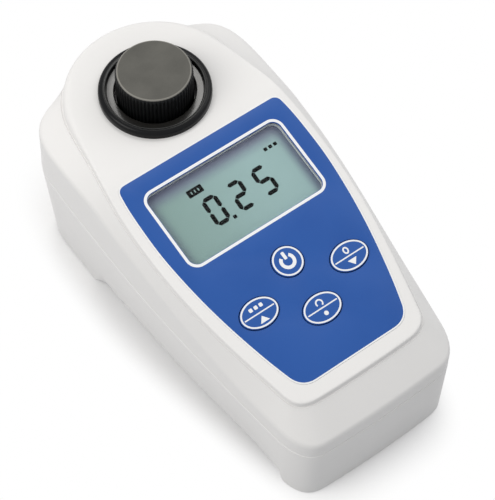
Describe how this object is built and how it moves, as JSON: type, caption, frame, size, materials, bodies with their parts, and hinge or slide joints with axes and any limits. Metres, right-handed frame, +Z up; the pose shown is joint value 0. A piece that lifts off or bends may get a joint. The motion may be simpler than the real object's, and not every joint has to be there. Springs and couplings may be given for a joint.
{
  "type": "chlorine meter",
  "caption": "Hand-held photometer with a sloping key panel, a display window and a round well that takes a screw-capped glass vial.",
  "frame": {"origin": "on the table, under the middle of the whole meter's length and width", "axes": "+Z up, -Y towards the keys and the user, +Y towards the vial well, +X to the user's right"},
  "size_m": [0.0802, 0.154, 0.0748],
  "materials": {
    "case_plastic": "fine satin moulded plastic, warm white",
    "overlay_blue": "printed film, blue",
    "clear_window": "clear pane",
    "display_glass": "grey-green display",
    "key_blue": "printed keys, blue",
    "black_plastic": "black moulded plastic",
    "cap_plastic": "black ribbed plastic",
    "black_rubber": "seal rubber",
    "vial_glass": "clear glass",
    "liner_white": "soft liner",
    "board_green": "circuit board",
    "white_plastic": "white moulded plastic",
    "steel": "plated steel",
    "spring_steel": "nickel-plated contact",
    "lamp_clear": "tinted epoxy",
    "filter_glass": "coated glass",
    "cell_wrap": "cell wrap",
    "lead_red": "lead insulation",
    "lead_black": "lead insulation"
  },
  "bodies": {
    "case": {"upper_case": "case_plastic", "lower_case": "case_plastic", "case_seal": "black_rubber", "case_screws": "steel", "front_overlay": "overlay_blue", "window_lens": "clear_window", "key_switches": "black_plastic", "lcd_panel": "display_glass", "lcd_frame": "white_plastic", "contact_strips": "black_rubber", "main_board": "board_green", "board_screws": "steel", "controller_chip": "black_plastic", "lead_sockets": "white_plastic", "well_collar": "black_plastic", "collar_seal": "black_rubber", "optics_block": "black_plastic", "lamp": "lamp_clear", "lamp_board": "board_green", "optical_filter": "filter_glass", "photodiode": "steel", "detector_board": "board_green", "optics_screws": "steel", "batteries": "cell_wrap", "battery_contacts": "spring_steel", "battery_springs": "spring_steel", "battery_leads": "lead_red", "lamp_leads": "lead_black", "detector_leads": "lead_black"},
    "vial": {"vial": "vial_glass"},
    "cap_liner": {"cap_liner": "liner_white"},
    "vial_cap": {"vial_cap": "cap_plastic"},
    "battery_door": {"battery_door": "case_plastic"},
    "key_power": {"key_power": "key_blue", "switch_plunger_power": "black_plastic"},
    "key_zero": {"key_zero": "key_blue", "switch_plunger_zero": "black_plastic"},
    "key_mode": {"key_mode": "key_blue", "switch_plunger_mode": "black_plastic"},
    "key_recall": {"key_recall": "key_blue", "switch_plunger_recall": "black_plastic"}
  },
  "joints": [
    {"name": "vial_lift", "type": "slide", "parent": "case", "child": "vial", "axis": [0, 0, 1], "range_m": [0, 0.06]},
    {"name": "cap_rise", "type": "slide", "parent": "vial", "child": "cap_liner", "axis": [0, 0, 1], "range_m": [0, 0.00601]},
    {"name": "cap_turn", "type": "hinge", "parent": "cap_liner", "child": "vial_cap", "pos_m": [0, 0.0466, 0.07], "axis": [0, 0, 1], "range_deg": [0, 540]},
    {"name": "battery_door_swing", "type": "hinge", "parent": "case", "child": "battery_door", "pos_m": [0, -0.0276, 0.0024], "axis": [-1, 0, 0], "range_deg": [0, 80]},
    {"name": "key_power_press", "type": "slide", "parent": "case", "child": "key_power", "axis": [0, 0.1994, -0.9799], "range_m": [0, 0.0005], "stiffness_N_per_m": 3000},
    {"name": "key_zero_press", "type": "slide", "parent": "case", "child": "key_zero", "axis": [0, 0.1994, -0.9799], "range_m": [0, 0.0005], "stiffness_N_per_m": 3000},
    {"name": "key_mode_press", "type": "slide", "parent": "case", "child": "key_mode", "axis": [0, 0.1994, -0.9799], "range_m": [0, 0.0005], "stiffness_N_per_m": 3000},
    {"name": "key_recall_press", "type": "slide", "parent": "case", "child": "key_recall", "axis": [0, 0.1994, -0.9799], "range_m": [0, 0.0005], "stiffness_N_per_m": 3000}
  ],
  "couplings": [
    {"joint": "cap_rise", "follows": "cap_turn", "m_per_rad": 0.00063662}
  ]
}
